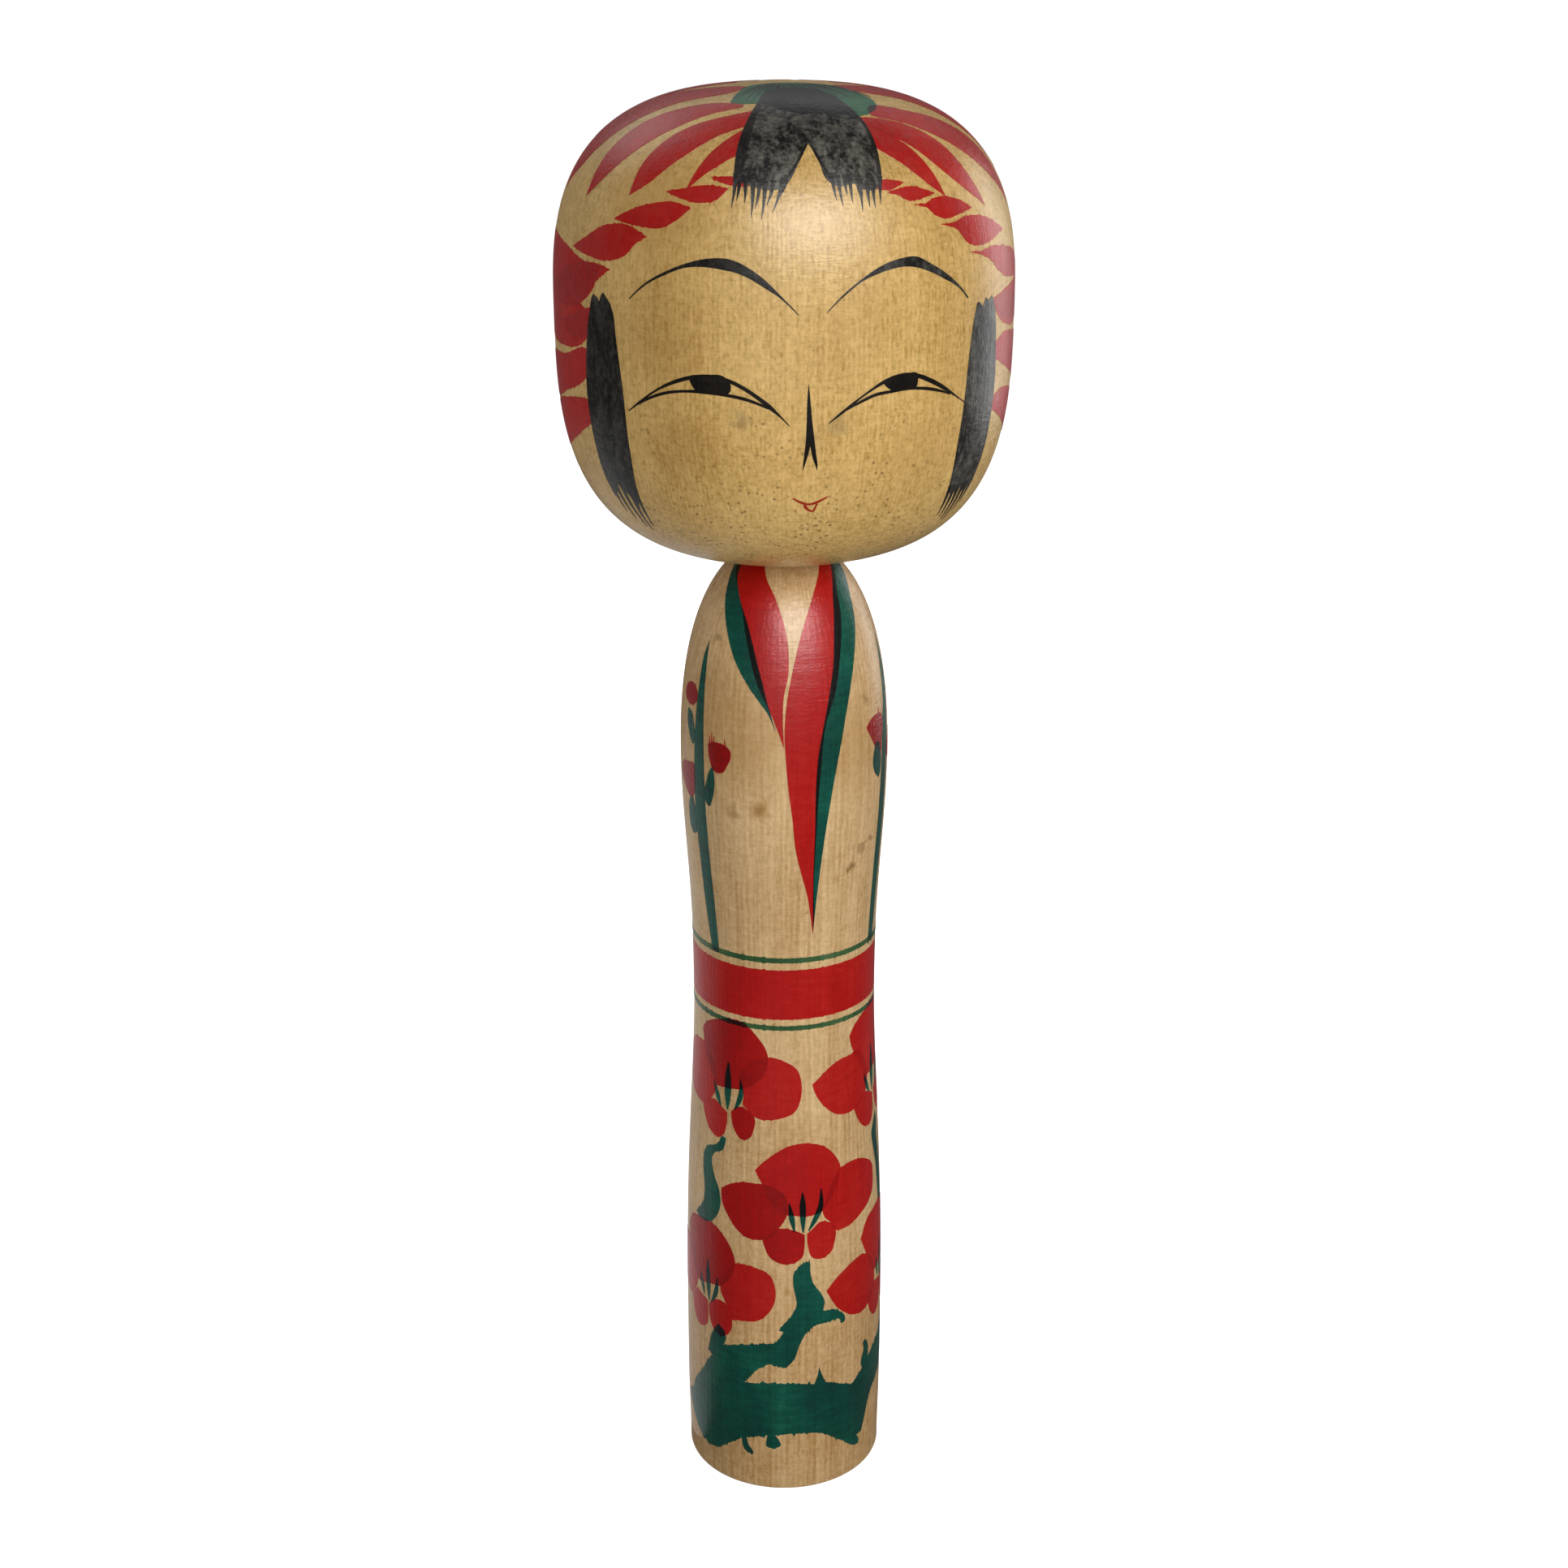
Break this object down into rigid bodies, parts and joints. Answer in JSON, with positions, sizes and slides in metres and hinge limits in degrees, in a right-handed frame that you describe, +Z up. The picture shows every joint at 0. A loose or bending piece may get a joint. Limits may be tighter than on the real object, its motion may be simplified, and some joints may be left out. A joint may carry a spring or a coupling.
{
  "type": "kokeshi doll",
  "caption": "Turned wooden doll with a cylindrical waisted body and a large round head that plugs onto a neck tenon and turns.",
  "frame": {"origin": "middle of the foot, on the surface the doll stands on", "axes": "+Z up along the turning axis; the painted collar faces -Y; +X is to the right of someone who faces the doll"},
  "size_m": [0.0898, 0.0898, 0.303],
  "materials": {
    "body_wood": "pale straight-grained wood, lightly waxed, with brushed ink",
    "head_wood": "pale wood aged to honey, lightly waxed, with brushed ink"
  },
  "bodies": {
    "body": {"body": "body_wood"},
    "head": {"head": "head_wood"}
  },
  "joints": [
    {"name": "head_turn", "type": "hinge", "parent": "body", "child": "head", "pos_m": [0, 0, 0.2125], "axis": [0, 0, 1], "continuous": true}
  ]
}
